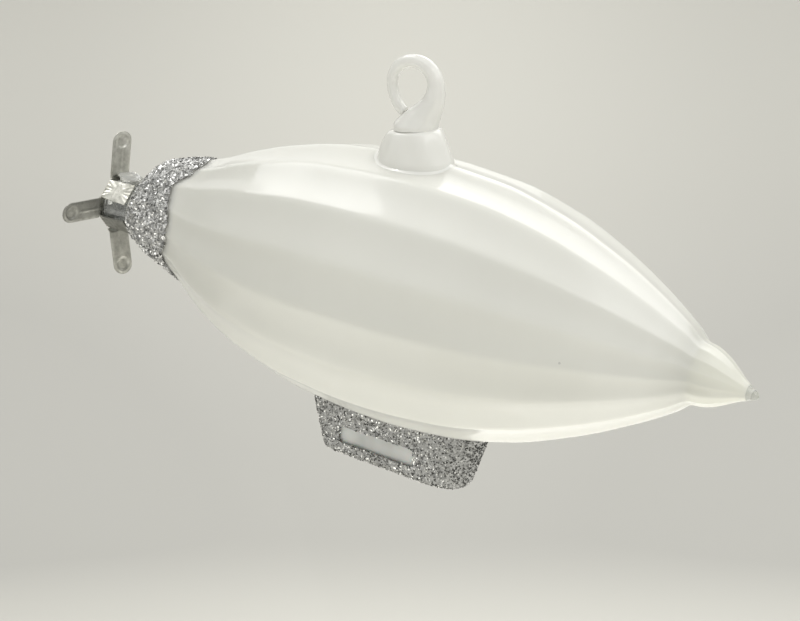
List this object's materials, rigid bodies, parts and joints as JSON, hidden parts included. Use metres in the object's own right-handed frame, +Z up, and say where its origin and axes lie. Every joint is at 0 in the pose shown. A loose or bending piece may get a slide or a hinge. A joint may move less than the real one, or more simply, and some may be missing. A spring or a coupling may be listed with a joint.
{
  "type": "glass airship ornament",
  "caption": "Hanging glass airship ornament: ribbed frosted hull, glittered cabin and tail, stamped tin propeller cap, glass hook loop on a dome.",
  "frame": {"origin": "inner top of the glass hook loop, where a hook carries the ornament", "axes": "+X towards the nose, +Z up as it hangs, +Y to the airship's left side; the hull's own axis dips 6.5 degrees towards the nose"},
  "size_m": [0.1781, 0.0642, 0.1032],
  "materials": {
    "frosted_pearl_glass": "satin pearl lacquer over blown glass",
    "clear_glass": "bare clear glass",
    "hanger_glass": "satin, partly clear glass",
    "cabin_glass": "frosted grey glass behind the windows",
    "silver_glitter": "coarse silver glitter in clear glue",
    "stamped_tin": "bright pressed tinplate, slightly dulled"
  },
  "bodies": {
    "hull": {"envelope": "frosted_pearl_glass", "tail_neck": "clear_glass", "nose_tip": "clear_glass", "tail_glitter": "silver_glitter", "cabin_body": "cabin_glass", "cabin_glitter": "silver_glitter", "hanger_dome": "hanger_glass", "hanger_loop": "hanger_glass"},
    "propeller": {"cap_plate": "stamped_tin", "propeller_arm_top": "stamped_tin", "propeller_arm_far": "stamped_tin", "propeller_arm_bottom": "stamped_tin", "propeller_arm_near": "stamped_tin"}
  },
  "joints": [
    {"name": "propeller_spin", "type": "hinge", "parent": "hull", "child": "propeller", "pos_m": [-0.08692, 0, -0.04294], "axis": [0.9936, 0, -0.1132], "continuous": true}
  ]
}
